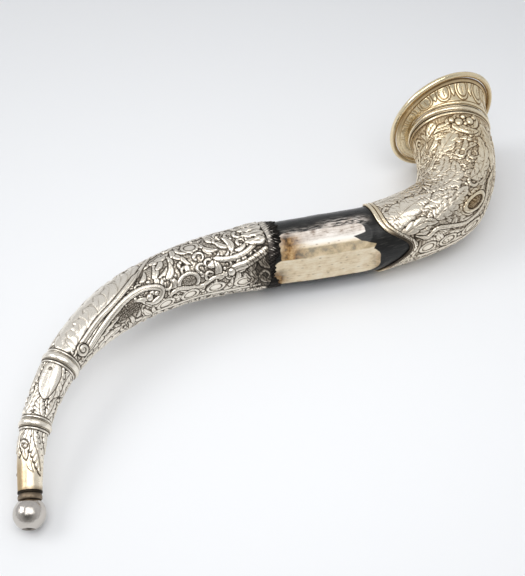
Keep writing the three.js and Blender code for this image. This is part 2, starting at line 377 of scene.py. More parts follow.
def leaflet(skin, station, angle, size, turn, height=0.7, ink=0.8):
    """A small pointed leaf with a vein."""
    part = skin.near(station - size, station + size)
    x, y = part.around(station, angle, turn)
    y = y + 0.3 * x ** 2 / size - 0.15 * size
    along = np.clip(x / size, -1, 1)
    half = 0.34 * size * np.sqrt(1 - along ** 2) * (1 - 0.45 * along) + 1e-3
    gap = np.maximum(np.abs(y) - half, np.abs(x) - size)
    part.stamp(gap, height * (0.35 + 0.65 * dome(np.clip(y / half, -1, 1))), ink)
    part.engrave(y, 0.32, 0.55 * ink, (gap < -0.2) & (along < 0.6))


def curl(skin, station, angle, size, turn, hand, height=0.75, ink=0.8):
    """A C-shaped raised scroll that thickens to a bud."""
    part = skin.near(station - size, station + size)
    x, y = part.around(station, angle, turn)
    y = y * hand
    rho = np.hypot(x, y)
    theta = np.degrees(np.arctan2(y, x)) % 360
    thick = 0.55 + 0.9 * theta / 280
    ring_radius = 0.6 * size
    past = np.clip(theta - 280, 0, 80) * 0.2
    gap = np.abs(rho - ring_radius) - thick + past
    part.stamp(gap, height * dome(np.clip((rho - ring_radius) / thick, -1, 1)), ink)
    bud = np.hypot(x - ring_radius * 0.17, y + ring_radius * 0.98)
    part.stamp(bud - 1.2, height * dome(bud / 1.2), ink)


def cell_dots(x, y, pitch, seed):
    """Distance from every point to the nearest of a jittered grid of dots."""
    best = np.full(x.shape, 1e9)
    i0, j0 = np.floor(x / pitch), np.floor(y / pitch)
    for di in (-1, 0, 1):
        for dj in (-1, 0, 1):
            i, j = i0 + di, j0 + dj
            h = np.sin(i * 127.1 + j * 311.7 + seed * 74.7) * 43758.5453
            g = np.sin(i * 269.5 + j * 183.3 + seed * 12.3) * 28001.8384
            px = (i + 0.25 + 0.5 * (h - np.floor(h))) * pitch
            py = (j + 0.25 + 0.5 * (g - np.floor(g))) * pitch
            best = np.minimum(best, np.hypot(x - px, y - py))
    return best


def stipple(skin, mask, pitch=1.5, depth=0.2, darkness=0.75, seed=1):
    """Punched, darkened ground wherever mask is on and nothing stands proud."""
    x, y = skin.plane(0, 0)
    ground = mask * (1 - smooth(skin.height, 0.08, 0.3))
    dots = bump(cell_dots(x, y, pitch, seed), 0.36 * pitch)
    skin.height -= ground * depth * (1 - dots)
    skin.dark = np.maximum(skin.dark, ground * darkness * (1 - 0.75 * dots))


def hatch(skin, mask, pitch, turn, ink=0.6, seed=0.0):
    """Short, slightly waving strokes side by side."""
    x, y = skin.plane(0, 0, turn)
    wave = 0.35 * np.sin(x * 0.55 + seed) + 0.2 * np.sin(x * 1.3 + 2 * seed)
    phase = y / pitch + wave
    off = np.abs(phase - np.round(phase)) * pitch
    broken = smooth(np.sin(x * 0.8 + np.round(phase) * 2.4 + seed), -0.5, 0.2)
    skin.engrave(off, 0.3, ink, mask * broken)


def blurred(values, times):
    for _ in range(times):
        padded = np.pad(values, ((1, 1), (0, 0)), mode="edge")
        values = (padded[:-2] + 2 * padded[1:-1] + padded[2:]) / 4
        values = (np.roll(values, 1, axis=1) + 2 * values + np.roll(values, -1, axis=1)) / 4
    return values


def sleeve_mesh(name, skin):
    """The closed body of a sleeve: its embossed outside and a plain inside wall."""
    height = 0.5 * (skin.height + blurred(skin.height, 1))
    hollow = blurred(height, 4) - height
    broad = blurred(height, 20) - height
    dark = np.clip(skin.dark + 1.1 * hollow + 0.45 * broad, 0, 1)
    outside = wrap(skin.station, skin.angle, skin.radius + height)
    rows = np.linspace(len(skin.station) - 1, 0, 14).round().astype(int)
    inner_station = skin.station[rows]
    inside = wrap(inner_station, skin.angle[rows], horn_radius(inner_station) + SHEET_INSIDE)
    attributes = {
        "dark": np.concatenate([dark, np.full(inner_station.shape, 0.6)]),
        "warm": np.concatenate([skin.warm, skin.warm[rows]]),
    }
    return ring_mesh(name, np.concatenate([outside, inside]), attributes, 70)


# -------------------- materials

def new_material(name):
    material = bpy.data.materials.new(name)
    material.use_nodes = True
    return material, material.node_tree, material.node_tree.nodes["Principled BSDF"]


def add(tree, kind, **settings):
    node = tree.nodes.new(kind)
    for key, value in settings.items():
        if key.startswith("in_"):
            node.inputs[key[3:].replace("_", " ").title()].default_value = value
        else:
            setattr(node, key, value)
    return node


def attribute(tree, name):
    return add(tree, "ShaderNodeAttribute", attribute_name=name).outputs["Fac"]


def maths(tree, operation, a, b=None, c=None, clamp=False):
    node = add(tree, "ShaderNodeMath", operation=operation, use_clamp=clamp)
    for socket, value in zip(node.inputs, (a, b, c)):
        if value is None:
            continue
        if isinstance(value, (int, float)):
            socket.default_value = value
        else:
            tree.links.new(value, socket)
    return node.outputs[0]


def ramp(tree, factor, stops):
    node = add(tree, "ShaderNodeValToRGB")
    elements = node.color_ramp.elements
    while len(elements) < len(stops):
        elements.new(0.5)
    for element, (position, colour) in zip(elements, stops):
        element.position = position
        element.color = (*colour, 1)
    tree.links.new(factor, node.inputs[0])
    return node.outputs[0]


def mix_colour(tree, factor, a, b):
    node = add(tree, "ShaderNodeMix", data_type="RGBA")
    for socket, value in zip((node.inputs[0], node.inputs[6], node.inputs[7]), (factor, a, b)):
        if isinstance(value, tuple):
            socket.default_value = (*value, 1)
        elif isinstance(value, (int, float)):
            socket.default_value = value
        else:
            tree.links.new(value, socket)
    return node.outputs[2]


def noise(tree, scale, detail=3, rough=0.5, vector=None):
    node = add(tree, "ShaderNodeTexNoise", in_scale=scale, in_detail=detail, in_roughness=rough)
    source = vector or add(tree, "ShaderNodeTexCoord").outputs["Object"]
    tree.links.new(source, node.inputs["Vector"])
    return node.outputs["Fac"]


SILVER = ((0.0, (0.93, 0.87, 0.77)), (0.30, (0.66, 0.60, 0.51)), (0.62, (0.20, 0.17, 0.135)),
          (1.0, (0.03, 0.026, 0.022)))
GILT = ((0.0, (0.91, 0.78, 0.535)), (0.30, (0.64, 0.48, 0.27)), (0.62, (0.26, 0.165, 0.08)),
        (1.0, (0.05, 0.034, 0.018)))
OXIDE = ((0.0, (0.86, 0.80, 0.71)), (0.22, (0.40, 0.37, 0.33)), (0.5, (0.11, 0.095, 0.085)),
         (1.0, (0.012, 0.011, 0.010)))


def metal(name, stops, roughness=0.2):
    """Polished metal, darkened by the dark attribute, which holds oxide in the recesses and, on some
    pieces, painted shade; gilt where the piece is painted warm.
    """
    material, tree, shader = new_material(name)
    patches = noise(tree, 70, 4, 0.6)
    specks = noise(tree, 900, 3, 0.6)
    loose = maths(tree, "MULTIPLY", maths(tree, "SUBTRACT", patches, 0.5), 0.30)
    grain = maths(tree, "MULTIPLY", maths(tree, "SUBTRACT", specks, 0.5), 0.18)
    worn = maths(tree, "ADD", loose, grain)
    # Oxide and painted shade from the dark attribute, with worn patches and specks
    tarnish_and_shade = maths(tree, "ADD", attribute(tree, "dark"), worn, clamp=True)
    colour = mix_colour(tree, attribute(tree, "warm"), ramp(tree, tarnish_and_shade, stops),
                        ramp(tree, tarnish_and_shade, GILT))
    tree.links.new(colour, shader.inputs["Base Color"])
    shader.inputs["Metallic"].default_value = 1.0
    rough = maths(tree, "MULTIPLY_ADD", tarnish_and_shade, 0.30, roughness)
    tree.links.new(maths(tree, "MULTIPLY_ADD", patches, 0.12, rough), shader.inputs["Roughness"])
    beaten = add(tree, "ShaderNodeBump", in_strength=0.5, in_distance=0.0004)
    tree.links.new(noise(tree, 330, 3, 0.55), beaten.inputs["Height"])
    relief = add(tree, "ShaderNodeBump", in_strength=0.3, in_distance=0.0002)
    tree.links.new(noise(tree, 1400, 2, 0.6), relief.inputs["Height"])
    tree.links.new(beaten.outputs[0], relief.inputs["Normal"])
    tree.links.new(relief.outputs[0], shader.inputs["Normal"])
    return material


def horn_material():
    """Polished horn: near-black skin, and cream, brown and olive where it is planed, with a painted
    highlight along the upper facet.
    """
    material, tree, shader = new_material("ram_horn_keratin")
    place = add(tree, "ShaderNodeCombineXYZ")
    tree.links.new(maths(tree, "MULTIPLY", attribute(tree, "station"), 0.035), place.inputs[0])
    tree.links.new(maths(tree, "MULTIPLY", attribute(tree, "angle"), 0.09), place.inputs[1])
    fibres = noise(tree, 3.2, 6, 0.62, place.outputs[0])
    blotches = noise(tree, 150, 5, 0.6)
    skin = ramp(tree, fibres, ((0.25, (0.004, 0.004, 0.004)), (0.55, (0.011, 0.011, 0.010)),
                                       (0.70, (0.05, 0.048, 0.044)), (0.9, (0.20, 0.19, 0.175))))
    mottle = maths(tree, "MULTIPLY_ADD", fibres, 0.5, maths(tree, "MULTIPLY", blotches, 0.5))
    cream = ramp(tree, mottle, ((0.34, (0.50, 0.37, 0.21)), (0.44, (0.76, 0.62, 0.42)),
                                        (0.56, (0.86, 0.75, 0.56)), (0.7, (0.90, 0.83, 0.69))))
    ash = ramp(tree, mottle, ((0.38, (0.30, 0.235, 0.19)), (0.46, (0.62, 0.54, 0.47)),
                                      (0.6, (0.88, 0.82, 0.76))))
    olive = ramp(tree, blotches, ((0.35, (0.25, 0.215, 0.15)), (0.5, (0.46, 0.36, 0.22)),
                                          (0.7, (0.62, 0.50, 0.33))))
    brown = ramp(tree, blotches, ((0.40, (0.05, 0.025, 0.010)), (0.52, (0.32, 0.17, 0.055)),
                                          (0.66, (0.60, 0.42, 0.21))))
    planed = cream
    for key, colour in (("ash", ash), ("painted_highlight", (0.95, 0.91, 0.85)), ("olive", olive), ("stain", brown),
                        ("pit", (0.22, 0.13, 0.06))):
        planed = mix_colour(tree, attribute(tree, key), planed, colour)
    ragged = maths(tree, "MULTIPLY_ADD", blotches, 0.5, -0.25)
    edge = maths(tree, "ADD", attribute(tree, "pale"), ragged)
    scratches = ramp(tree, fibres, ((0.44, (0, 0, 0)), (0.56, (1, 1, 1))))
    scuffs = maths(tree, "MULTIPLY", attribute(tree, "scuffed"), scratches)
    crisp = maths(tree, "MULTIPLY_ADD", edge, 4, -1.5, True)
    planed_area = maths(tree, "MAXIMUM", crisp, scuffs)
    tree.links.new(mix_colour(tree, planed_area, skin, planed), shader.inputs["Base Color"])
    rough = maths(tree, "MULTIPLY_ADD", fibres, 0.25, 0.18)
    tree.links.new(rough, shader.inputs["Roughness"])
    shader.inputs["Specular IOR Level"].default_value = 0.26
    shader.inputs["Coat Weight"].default_value = 0.08
    shader.inputs["Coat Roughness"].default_value = 0.08
    relief = add(tree, "ShaderNodeBump", in_strength=0.4, in_distance=0.0003)
    tree.links.new(maths(tree, "ADD", fibres, maths(tree, "MULTIPLY", blotches, 0.5)),
              relief.inputs["Height"])
    tree.links.new(relief.outputs[0], shader.inputs["Normal"])
    return material


silver = metal("chased_silver", SILVER)
gilt = metal("pale_gilt", GILT)
bright_gilt = metal("bright_gilt", GILT, 0.08)
oxidised = metal("oxidised_silver", OXIDE, 0.32)
# A darker copy of the silver ramp for the polished ball: painted shade, dimming what the ball reflects
SHADED_POLISHED = ((0.0, (0.60, 0.56, 0.515)), (0.35, (0.27, 0.245, 0.22)), (0.7, (0.12, 0.10, 0.09)),
            (1.0, (0.03, 0.026, 0.022)))
polished = metal("polished_silver_shaded", SHADED_POLISHED, 0.07)
keratin = horn_material()


# -------------------- the plain turned pieces

BALL_RADIUS = 10
ball_profile = (arc(0, 0, BALL_RADIUS, -65.2, 51.3, 60)
                + [(2.8, 7.8), (2.8, -6.5), (3.0, -7.2, 0.4), (3.6, -8.5, 0.4), (4.1, -9.06, 0.4)])
dress(turned("ball_mouthpiece", ball_profile, 144), polished, "silver", "mouthpiece_ball")
neck_profile = [(6.3, 8.1, 0.6), (7.0, 8.2, 0.6), (7.4, 8.8, 0.55), (7.3, 10.2, 0.6), (6.9, 11.3, 0.8),
                (6.9, 11.8, 1), (7.5, 12.2, 1), (7.5, 13.1, 1), (2.9, 13.1), (2.9, 8.1)]
dress(turned("neck_ferrule", neck_profile, 96, warm=0.3), silver, "dark_silver", "mouthpiece_ferrule")


def ring(name, node, start, end, proud, warm=0.0):
    """A half-round band between fine bead lines with dark seam lines."""
    middle = (start + end) / 2
    inside = float(horn_radius(middle)) + SHEET_INSIDE + 0.1
    skin = inside + 0.9
    half = (end - start) / 2
    profile = [(inside, start), (skin + 0.1, start, 0.9), (skin + 0.35, start + 0.3),
               (skin + 0.05, start + 0.75, 0.9)]
    profile += [(skin + 0.1 + proud * math.sin(math.radians(t)),
                 middle - (half - 0.9) * math.cos(math.radians(t)), 0.5 * (t % 180 == 0))
                for t in range(0, 181, 15)]
    profile += [(skin + 0.05, end - 0.75, 0.9), (skin + 0.35, end - 0.3), (skin + 0.1, end, 0.9),
                (inside, end)]
    dress(turned(name, profile, 160, 50, warm), silver, "silver", node)


ring("ring_one", "tip_ring", 51, 56.2, 0.95, 0.1)
ring("ring_two", "middle_ring", 95.2, 101.2, 1.05)
ring("bell_bead_ring", "bell_bead", 485.8, 490.2, 1.1, 0.75)


# -------------------- the horn

def facet_cut(station, angle):
    """How deep the two planed facets cut below the round horn."""
    round_radius = horn_radius(station)
    cut = np.zeros(station.shape)
    for facet in FACETS:
        run_in = smooth(station, facet["from"], facet["from"] + FACET_FADE)
        run_out = 1 - smooth(station, facet["to"] - FACET_FADE, facet["to"])
        depth = facet["depth"] * np.minimum(run_in, run_out) ** 0.6
        turn = np.radians(np.clip(np.abs(turn_between(angle, facet["angle"])), 0, 80))
        cut = np.maximum(cut, round_radius - (round_radius - depth) / np.cos(turn))
    return cut


def patch_gap(station, angle, first, last, low, high, corner):
    """Distance outside a patch with rounded corners, between two stations and two angles."""
    arc_length = np.radians(turn_between(angle, (low + high) / 2)) * horn_radius(station)
    half_long = (last - first) / 2
    half_wide = math.radians(high - low) / 2 * BARE_RADIUS
    dx = np.abs(station - (first + last) / 2) - half_long + corner
    dy = np.abs(arc_length) - half_wide + corner
    return np.hypot(np.maximum(dx, 0), np.maximum(dy, 0)) + np.minimum(np.maximum(dx, dy), 0) - corner


def build_horn():
    stations = np.concatenate([np.arange(HORN_ENDS[0], 266, 7), np.arange(268, 376, 0.55),
                               np.arange(378, 491, 7), [492.2, HORN_ENDS[1]]])[:, None]
    angles = np.linspace(-90, 270, 288, endpoint=False)[None, :]
    station, angle = np.broadcast_arrays(stations, angles)
    cut = facet_cut(station, angle)
    wobble = (np.sin(station * 0.31 + 2.1 * np.sin(np.radians(angle) * 3)) * 0.5
              + np.sin(station * 0.83 + np.radians(angle) * 5) * 0.3)
    growth = 0.10 * wobble * (1 - smooth(cut, 0.05, 0.3))
    x, y = station, np.radians(angle) * horn_radius(station)
    chance = np.sin(np.floor(x / 9) * 12.9 + np.floor(y / 4) * 78.2) > 0.1
    pits = smooth(1.1 - cell_dots(0.45 * x, y, 4.5, 3) / 0.5, 0, 0.6) * chance * smooth(cut, 0.3, 0.8)
    radius = horn_radius(station) - cut + growth - 0.12 * pits
    lower = patch_gap(station, angle, 272, 351, 59, 117, 9)
    upper = patch_gap(station, angle, 279, 343, 9, 70, 6)
    notch = np.abs(turn_between(angle, 34 + 0.9 * (station - 336))) * 0.42 - 0.55 * (station - 335)
    upper = np.maximum(upper, np.minimum(0.5 - notch, 3))
    strip_low = 38 + np.clip(station - 334, 0, 30) * 1.05
    strip = np.maximum(np.radians(strip_low - turn_between(angle, 0)) * BARE_RADIUS,
                       turn_between(angle, 70) * 0.42)
    strip_end = 349.5 - 0.3 * np.clip(turn_between(angle, 50), 0, 30)
    strip = np.maximum(np.maximum(strip, station - strip_end), 280 - station)
    pale = np.clip(0.5 - 0.5 * np.minimum(np.minimum(lower, upper), strip), 0, 1)
    scuffed = bump(turn_between(angle, 5), 9) * smooth(station, 300, 326) * (1 - smooth(station, 338, 352))
    scuffed = np.maximum(scuffed, 0.8 * bump(turn_between(angle, 12), 9) * smooth(station, 280, 290)
                         * (1 - smooth(station, 334, 344)))
    ash = (1 - smooth(turn_between(angle, 31), -4, 3)) * (station < 350)
    # Painted highlight: a near-white band along the upper facet, standing in for the shine of the light on
    # it
    painted_highlight = bump(turn_between(angle, 32), 6) * smooth(station, 290, 306)
    olive = smooth(turn_between(angle, 41), -1.5, 2) * (1 - smooth(turn_between(angle, 58.5), -1, 1))
    olive = olive * (station > 279)
    stain = bump(station - 286.5, 9) * smooth(turn_between(angle, 15), -8, 4) * (angle < 58)
    stain = np.maximum(stain, 0.9 * bump(station - 273, 9) * smooth(turn_between(angle, 98), -7, 5))
    stain = stain + 0.9 * bump(station - 275, 7) * smooth(angle, 74, 88)
    stain = stain + 0.6 * bump(station - 350, 3) * smooth(angle, 62, 80)
    bore_rows = np.linspace(HORN_ENDS[1], HORN_ENDS[0], 70)[:, None]
    bore_station, bore_angle = np.broadcast_arrays(bore_rows, angles)
    bore_radius = np.interp(bore_station, BORE[:, 0], BORE[:, 1])
    rings = np.concatenate([wrap(station, angle, radius), wrap(bore_station, bore_angle, bore_radius)])
    rest = np.zeros(bore_station.shape)
    skin = {"pale": pale, "scuffed": scuffed, "ash": ash, "painted_highlight": painted_highlight, "olive": olive, "pit": 0.6 * pits,
            "stain": np.clip(stain, 0, 1), "station": station, "angle": angle}
    bore = {"pale": smooth(bore_station, 489, 491.5) * 0.8, "stain": rest + 0.7,
            "station": bore_station, "angle": bore_angle}
    attributes = {key: np.concatenate([values, bore.get(key, rest)]) for key, values in skin.items()}
    return ring_mesh("ram_horn", rings, attributes, 70)


dress(build_horn(), keratin, "horn", "horn", "horn_bell_end")


# -------------------- the sleeves

def lip(skin, distance, height=0.55):
    """A plain raised edge with a dark line inside it."""
    skin.height = np.where(distance < 1.3, height * dome((distance - 0.6) / 0.75), skin.height)
    skin.dark = np.where(distance < 1.3, 0, skin.dark)
    skin.engrave(distance - 1.5, 0.35, 0.9)


def scatter_foliage(skin, first, last, step, seed, size=5.0, height=0.7, ink=0.85):
    """Small overlapping leaves and curls that fill the ground below the large ones."""
    rng = np.random.default_rng(seed)
    for station in np.arange(first, last, step):
        radius = float(horn_radius(station)) + GROUND
        count = max(5, int(2 * math.pi * radius / (1.05 * step)))
        for k in rng.permutation(count):
            spot = station + rng.uniform(-0.35, 0.35) * step
            angle = (k + rng.uniform(0, 0.6)) * 360 / count - 90
            drift = 70 * math.sin(spot / 11 + math.radians(2 * angle)) + rng.normal(0, 30)
            scale, rise = size * rng.uniform(0.75, 1.25), height * rng.uniform(0.7, 1.15)
            kind, hand = rng.uniform(), rng.choice((-1, 1))
            if kind < 0.34:
                curl(skin, spot, angle, scale, drift, hand, rise, ink)
            elif kind < 0.97:
                leaflet(skin, spot, angle, 1.15 * scale, drift, rise, ink)
            else:
                boss(skin, spot, angle, 0.25 * scale, rise, ink)


def oval_chain(skin, spots, long, wide):
    """Double-outlined ovals in a row, with a bead between each two."""
    for (station, angle), (following, _) in zip(spots, spots[1:] + [spots[-1]]):
        oval(skin, station, angle, long, wide, turn=-6)
        if following > station:
            boss(skin, (station + following) / 2, angle, 1.5, 0.6)


def tip_sleeve():
    skin = Skin(*TIP_SLEEVE, 150, 200)
    for half in (0, 180):
        skin.half = half
        leaf(skin, [(50, -30), (42, -42), (33, -44)], 3.4, 0.65, 5, 0.8)
        leaf(skin, [(50, 62), (43, 88), (36, 100)], 3.2, 0.65, 4, 0.85)
        leaf(skin, [(51, 12), (42, 22), (33, 46), (22, 62)], 4.4, 0.8, 8, 0.9, blunt=0.9, serrate=0.4)
        leaf(skin, [(50, -2), (43, -14), (36, -14), (31, -6)], 3.2, 0.6, 4, 0.8)
        curl(skin, 40, -24, 3.0, 200, 1)
        leaflet(skin, 27, 12, 3.6, 160, 0.35, 0.35)
    # Gilt towards the tip; on the side round -55 degrees the gilt is stronger and painted darker, as shade
    side = bump(turn_between(skin.angle, -55), 50)
    skin.warm = (1 - smooth(skin.station, 22, 44)) * (0.45 + 0.55 * side)
    skin.dark = np.maximum(skin.dark, 0.42 * side * (1 - smooth(skin.station, 26, 44)))
    skin.dark = np.maximum(skin.dark, 0.45 * (1 - smooth(skin.station, TIP_SLEEVE[0], 17)))
    lip(skin, TIP_SLEEVE[1] - skin.station)
    return sleeve_mesh("tip_sleeve_chased", skin)


def middle_sleeve():
    skin = Skin(*MIDDLE_SLEEVE, 160, 224)
    scatter_foliage(skin, 60, 93, 6.5, 4, 3.6)
    for half in (0, 180):
        skin.half = half
        leaf(skin, [(95, 68), (86, 66), (76, 74)], 4.4, 0.75, 5, 0.9)
        leaf(skin, [(94, 32), (84, 42), (74, 50), (66, 44)], 4.2, 0.8, 7, 0.9)
        leaf(skin, [(58, 50), (65, 62), (73, 62)], 3.6, 0.7, 5, 0.85)
        leaf(skin, [(94, -58), (84, -50), (75, -54)], 4.6, 0.75, 5, 0.85)
        leaf(skin, [(56, -58), (62, -30), (70, -18), (76, -14)], 4.6, 0.7, 6, 0.7, serrate=0.36)
        leaf(skin, [(57, 34), (62, 16), (70, 6)], 3.6, 0.7, 5, 0.75)
        leaf(skin, [(95, 5), (88, 7), (79, 12), (69, 20)], 6.6, 0.65, 1, 0.85, 0.72, 0, 0)
    lip(skin, skin.station - MIDDLE_SLEEVE[0])
    lip(skin, MIDDLE_SLEEVE[1] - skin.station)
    return sleeve_mesh("middle_sleeve_chased", skin)


def front_sleeve():
    skin = Skin(FRONT_SLEEVE_START, lambda a: 270 + 0.8 * np.sin(np.radians(5 * a)), 408, 228)
    scatter_foliage(skin, 106, 170, 6.2, 9, 3.6)
    scatter_foliage(skin, 172, 268, 6.6, 7, 5.0, 0.85)
    middle = turn_between(skin.angle % 180, 62)
    ground = bump(skin.station - 154, 17) * bump(middle, 17)
    skin.height = skin.height * (1 - smooth(ground, 0.3, 0.6))
    skin.dark = skin.dark * (1 - smooth(ground, 0.3, 0.6))
    stipple(skin, smooth(ground, 0.25, 0.6), 1.4, 0.2, 0.85, 3)
    roots = ((162, 13), (152, 20), (141, 26), (130, 32), (119, 37), (108, 41))
    for half in (0, 180):
        skin.half = half
        leaf(skin, [(102, 112), (118, 104), (132, 92), (146, 84)], 4.6, 0.8, 7)
        leaf(skin, [(103, -66), (120, -60), (140, -62), (158, -54)], 6.5, 0.8, 8)
        leaf(skin, [(101, 4), (122, -6), (146, -18), (168, -34)], 13.5, 0.7, 5, 0.5)
        for k, (station, angle) in enumerate(roots):
            leaf(skin, [(station, angle), (station + 8, angle - 18), (station + 15, angle - 40),
                        (station + 15, angle - 58)], 6.2 + 0.4 * k, 0.8, 2 + k % 2, 0.42, 0.75, 0.26, 0.4)
        leaf(skin, [(106, 80), (120, 72), (136, 62), (148, 58)], 3.6, 0.75, 7)
        leaf(skin, [(112, 62), (126, 54), (140, 46), (154, 44)], 3.8, 0.75, 6)
        for k in range(5):
            stem(skin, [(168 + 1.5 * k, 14 - 3 * k), (176 + 2.2 * k, 2 - 6 * k),
                        (182 + 3 * k, -14 - 8 * k)], 1.5, 0.85, 0.4)
        double_stem(skin, [(104, 46), (118, 40), (134, 31), (152, 24), (168, 8), (178, -8)], 1.7, 1.0)
        double_stem(skin, [(110, 76), (126, 60), (144, 44), (161, 34), (175, 35), (185, 50), (183, 66),
                           (176, 72), (171, 64)], 2.0, 1.1)
        boss(skin, 175, 58, 2.5, 1.0)
        volute(skin, 112, 57, 4.4, 2.6, 1, 0, 0.85)
        oval(skin, 217, -10, 6.2, 5.0, 15)
        oval(skin, 206.5, 60, 9.4, 6.8, -8)
        double_stem(skin, [(188, 76), (197, 66), (206, 72), (216, 76), (226, 66), (238, 62), (246, 50)],
                    1.3, 0.8)
        double_stem(skin, [(238, 68), (243, 56), (252, 52), (262, 42), (272, 30)], 2.7, 1.15)
        boss(skin, 240, 62, 2.8, 1.1)
        double_stem(skin, [(228, 28), (238, 36), (250, 34), (260, 22), (266, 8)], 1.8, 1.0)
        oval_chain(skin, [(186, 90), (206, 89), (227, 87), (249, 86)], 7.6, 4.1)
        stem(skin, [(176, 102), (196, 105), (216, 103), (238, 104), (262, 102)], 1.2, 0.7, 0)
        for k in range(6):
            leaf(skin, [(252 + k % 3, -62 + 15 * k), (261, -60 + 15 * k), (270, -60 + 15 * k)], 3.6, 1.35,
                 2, 0.8, 1.5)
    stipple(skin, 0.8, 1.5, 0.2, 0.7, 3)
    side = turn_between(skin.angle % 180, 74)
    # Oxide and painted shade: the end of the sleeve is darkened and flattened on the sides round 74 and
    # 254 degrees and along its last 3 mm except along the top, and hatched where darkest
    oxide_and_shade = smooth(skin.station, 244, 262) * bump(side, 44)
    crest = np.clip(1.6 * bump(turn_between(skin.angle, -22), 46), 0, 1)
    oxide_and_shade = np.clip(oxide_and_shade + 0.8 * smooth(skin.station, 266.5, 269.5) * (1 - crest), 0, 1)
    lift = 0.5 * crest * bump(skin.station - 266, 7) * (skin.height > 0.3)
    skin.height = skin.height * (1 - 0.55 * oxide_and_shade) + lift
    hatch(skin, oxide_and_shade > 0.3, 1.5, 62, 0.95)
    skin.dark = skin.dark + (1 - skin.dark) * 0.8 * oxide_and_shade
    lip(skin, skin.station - FRONT_SLEEVE_START)
    return sleeve_mesh("front_sleeve_chased", skin)


def cut_border():
    """The dark, ragged strip of upright leaf tips between the front sleeve and the bare horn."""
    def ragged(angle):
        turn = np.radians(angle)
        wave = np.sin(17 * turn + 2 * np.sin(3 * turn)) + 0.7 * np.sin(41 * turn + 3 * np.sin(4 * turn))
        return 280.3 - edge_notch(angle, 7) + 0.9 * wave

    skin = Skin(lambda a: 270.4 + 0.8 * np.sin(np.radians(5 * a)), ragged, 44, 760)
    turn = np.radians(skin.angle)
    along = skin.station - 270
    broad = np.sin(turn * 23 + 2.4 * np.sin(5 * turn + 0.2 * along) + 0.4 * along)
    fine = np.sin(turn * 83 - 1.5 * along + 3 * np.sin(7 * turn) + 0.8 * np.sin(0.7 * along))
    patchy = smooth(np.sin(turn * 29 + 0.7 * along) * np.sin(turn * 13 - 0.5 * along + 2), -0.35, 0.25)
    fall = smooth(ragged(skin.angle) - skin.station, 0, 5) * (0.35 + 0.65 * patchy)
    skin.height = (0.35 * np.abs(broad) ** 1.4 + 0.22 * np.abs(fine)) * (0.2 + 0.8 * fall)
    lit = smooth(broad * fine, 0.15, 0.75) * (0.15 + 0.85 * fall)
    shaded = bump(turn_between(skin.angle, 85), 42)
    crest = np.clip(1.6 * bump(turn_between(skin.angle, -22), 46), 0, 1)
    skin.dark = (1 - 0.84 * lit * (1 - 0.8 * shaded)) * (1 - 0.9 * crest * (1 - smooth(along, 2.5, 6)))
    skin.height = skin.height + 0.5 * crest * (1 - smooth(along, 3, 8))
    return sleeve_mesh("front_border_cut", skin)


def rear_band_start(angle):
    return 352 + edge_notch(angle, 18.5)


def rear_band():
    """A rolled collar, gilt along the top; where it dips round the end of the facets it sinks, loses some
    gilt and is painted dark with more hatching, as shade.
    """
    skin = Skin(rear_band_start, lambda a: rear_band_start(a) + 6, 30, 512)
    offset = skin.station - rear_band_start(skin.angle)
    dip = np.maximum(bump(turn_between(skin.angle, 78), 38), bump(turn_between(skin.angle, 258), 30))
    show = 1 - smooth(dip, 0.15, 0.6)
    skin.height = 0.15 + (0.2 + 0.55 * dome((offset - 1.5) / 1.5)) * show
    skin.height = skin.height + 0.3 * dome((offset - 4.6) / 1.3)
    skin.warm = 0.2 + 0.5 * show
    # A dark seam line, and painted shade over the front of the collar where it dips
    seams_and_shade = 0.9 * bump(offset - 3.2, 0.45) + 0.9 * (1 - show) * (offset < 2.6)
    skin.dark = seams_and_shade + 0.5 * bump(offset - 6, 0.4)
    hatch(skin, (offset > 3.4) * (0.3 + 0.7 * (1 - show)), 1.6, 70, 0.8)
    return sleeve_mesh("rear_band_gilt", skin)


